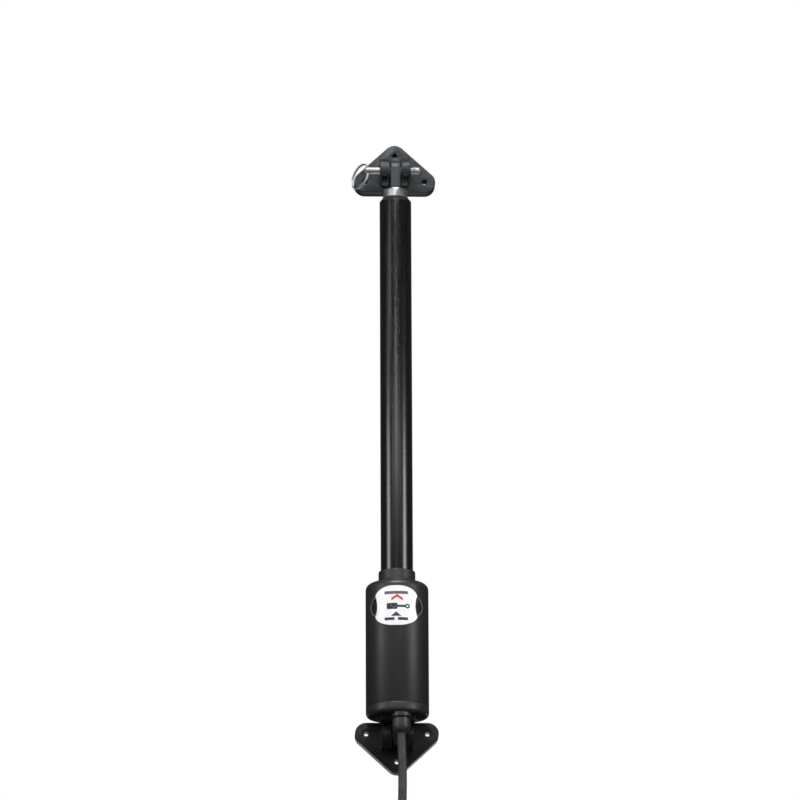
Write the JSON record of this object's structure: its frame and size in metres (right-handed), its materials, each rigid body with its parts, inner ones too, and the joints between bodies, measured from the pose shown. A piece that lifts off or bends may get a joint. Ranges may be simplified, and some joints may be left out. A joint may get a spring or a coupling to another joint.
{
  "type": "linear actuator",
  "caption": "In-line electric linear actuator: tubular drive housing, long outer tube, polished ram, and a three-hole clevis bracket at each end, the top one on a quick-release ring pin.",
  "frame": {"origin": "centre of the lower pivot pin, where its axis crosses the middle of the lower eye", "axes": "+Z along the actuator towards the ram end, both pivot pins along X, the mounting faces of both brackets face +Y; rest is fully retracted"},
  "size_m": [0.0959, 0.0723, 0.8269],
  "materials": {
    "bracket_plastic": "satin moulded, slate black",
    "bracket_black": "satin moulded, black",
    "rod_end_plastic": "satin moulded, slate black",
    "housing_coat": "satin black powder coat",
    "cap_plastic": "satin black",
    "tube_coat": "gloss black anodised",
    "gland_plastic": "satin black nylon",
    "lead_jacket": "matt black cable jacket",
    "stainless": "polished stainless steel",
    "pin_steel": "polished stainless steel",
    "ring_wire": "bright spring steel",
    "label_sheet": "printed label under clear film",
    "rubber": "nitrile rubber",
    "bush_plastic": "natural acetal",
    "motor_steel": "zinc plated",
    "die_cast": "die cast",
    "magnet": "sintered ferrite",
    "bronze": "sintered bronze",
    "copper": "enamelled copper",
    "card": "phenolic board",
    "carbon": "pressed carbon",
    "gear_steel": "machined steel",
    "laminations": "stacked laminations",
    "wire_red": "insulated conductor"
  },
  "bodies": {
    "lower_mount": {"lower_bracket": "bracket_black", "lower_pivot_pin": "pin_steel"},
    "actuator": {"bottom_cap": "cap_plastic", "cap_o_ring": "rubber", "motor_housing": "housing_coat", "label_plate": "label_sheet", "outer_tube": "tube_coat", "tube_o_ring": "rubber", "tube_end_cap": "cap_plastic", "rod_wiper": "rubber", "rod_seal": "rubber", "rod_guide_bush": "bush_plastic", "end_stop_bumper": "rubber", "gland_body": "gland_plastic", "gland_nut": "gland_plastic", "gland_seal": "rubber", "power_lead_upper": "lead_jacket", "internal_wires": "wire_red", "motor_end_bell": "die_cast", "motor_can": "motor_steel", "field_magnets": "magnet", "armature_bearings": "bronze", "brush_card": "card", "carbon_brushes": "carbon", "brush_springs": "gear_steel", "gearbox_plate": "die_cast", "gearbox_screws": "motor_steel", "ring_gear": "gear_steel", "bearing_block": "die_cast", "bearing_outer_race": "gear_steel"},
    "power_lead": {"power_lead_lower": "lead_jacket", "lead_conductors": "wire_red"},
    "armature": {"armature_shaft": "gear_steel", "armature_core": "laminations", "armature_windings": "copper", "commutator": "copper", "sun_gear": "gear_steel"},
    "screw": {"planet_carrier": "gear_steel", "lead_screw": "gear_steel", "bearing_inner_race": "gear_steel", "screw_end_stop": "motor_steel"},
    "planet_1": {"planet_gear_1": "gear_steel"},
    "planet_2": {"planet_gear_2": "gear_steel"},
    "planet_3": {"planet_gear_3": "gear_steel"},
    "bearing_train": {"bearing_cage": "bronze", "bearing_balls": "ring_wire"},
    "ram": {"ram_tube": "stainless", "drive_nut": "bronze", "nut_guide_ring": "bush_plastic", "rod_end": "rod_end_plastic"},
    "upper_mount": {"upper_bracket": "bracket_plastic"},
    "release": {"release_pin": "pin_steel", "detent_ball": "ring_wire", "detent_spring": "ring_wire"},
    "ring": {"pull_ring": "ring_wire"}
  },
  "joints": [
    {"name": "base_pivot", "type": "hinge", "parent": "lower_mount", "child": "actuator", "pos_m": [0, 0, 0], "axis": [1, 0, 0], "range_deg": [-1, 75]},
    {"name": "lead_flex", "type": "hinge", "parent": "actuator", "child": "power_lead", "pos_m": [0.0035, -0.023, -0.0065], "axis": [1, 0, 0], "range_deg": [-75, 1]},
    {"name": "motor_spin", "type": "hinge", "parent": "actuator", "child": "armature", "pos_m": [0, 0, 0.09], "axis": [0, 0, -1], "range_deg": [0, 114000.31]},
    {"name": "screw_spin", "type": "hinge", "parent": "actuator", "child": "screw", "pos_m": [0, 0, 0.157], "axis": [0, 0, -1], "range_deg": [0, 22800.07]},
    {"name": "planet_1_spin", "type": "hinge", "parent": "screw", "child": "planet_1", "pos_m": [0.015, 0, 0.127], "axis": [0, 0, -1], "range_deg": [-60800.17, 0]},
    {"name": "planet_2_spin", "type": "hinge", "parent": "screw", "child": "planet_2", "pos_m": [-0.0075, 0.01299, 0.127], "axis": [0, 0, -1], "range_deg": [-60800.17, 0]},
    {"name": "planet_3_spin", "type": "hinge", "parent": "screw", "child": "planet_3", "pos_m": [-0.0075, -0.01299, 0.127], "axis": [0, 0, -1], "range_deg": [-60800.17, 0]},
    {"name": "bearing_train_spin", "type": "hinge", "parent": "actuator", "child": "bearing_train", "pos_m": [0, 0, 0.157], "axis": [0, 0, -1], "range_deg": [0, 8667.16]},
    {"name": "ram_extend", "type": "slide", "parent": "actuator", "child": "ram", "axis": [0, 0, 1], "range_m": [0, 0.38]},
    {"name": "upper_pivot", "type": "hinge", "parent": "ram", "child": "upper_mount", "pos_m": [0, 0, 0.659], "axis": [1, 0, 0], "range_deg": [-5, 110]},
    {"name": "release_pin_pull", "type": "slide", "parent": "upper_mount", "child": "release", "axis": [-1, 0, 0], "range_m": [0, 0.05], "deforming": ["detent_ball", "detent_spring"]},
    {"name": "pull_ring_swing", "type": "hinge", "parent": "release", "child": "ring", "pos_m": [-0.031, 0, 0.659], "axis": [0, 0.309, 0.9511], "range_deg": [0, 110]}
  ],
  "couplings": [
    {"joint": "lead_flex", "follows": "base_pivot", "ratio": -1},
    {"joint": "motor_spin", "follows": "ram_extend", "rad_per_m": 5236},
    {"joint": "screw_spin", "follows": "ram_extend", "rad_per_m": 1047.2},
    {"joint": "planet_1_spin", "follows": "ram_extend", "rad_per_m": -2792.5},
    {"joint": "planet_2_spin", "follows": "ram_extend", "rad_per_m": -2792.5},
    {"joint": "planet_3_spin", "follows": "ram_extend", "rad_per_m": -2792.5},
    {"joint": "bearing_train_spin", "follows": "ram_extend", "rad_per_m": 398.08}
  ]
}
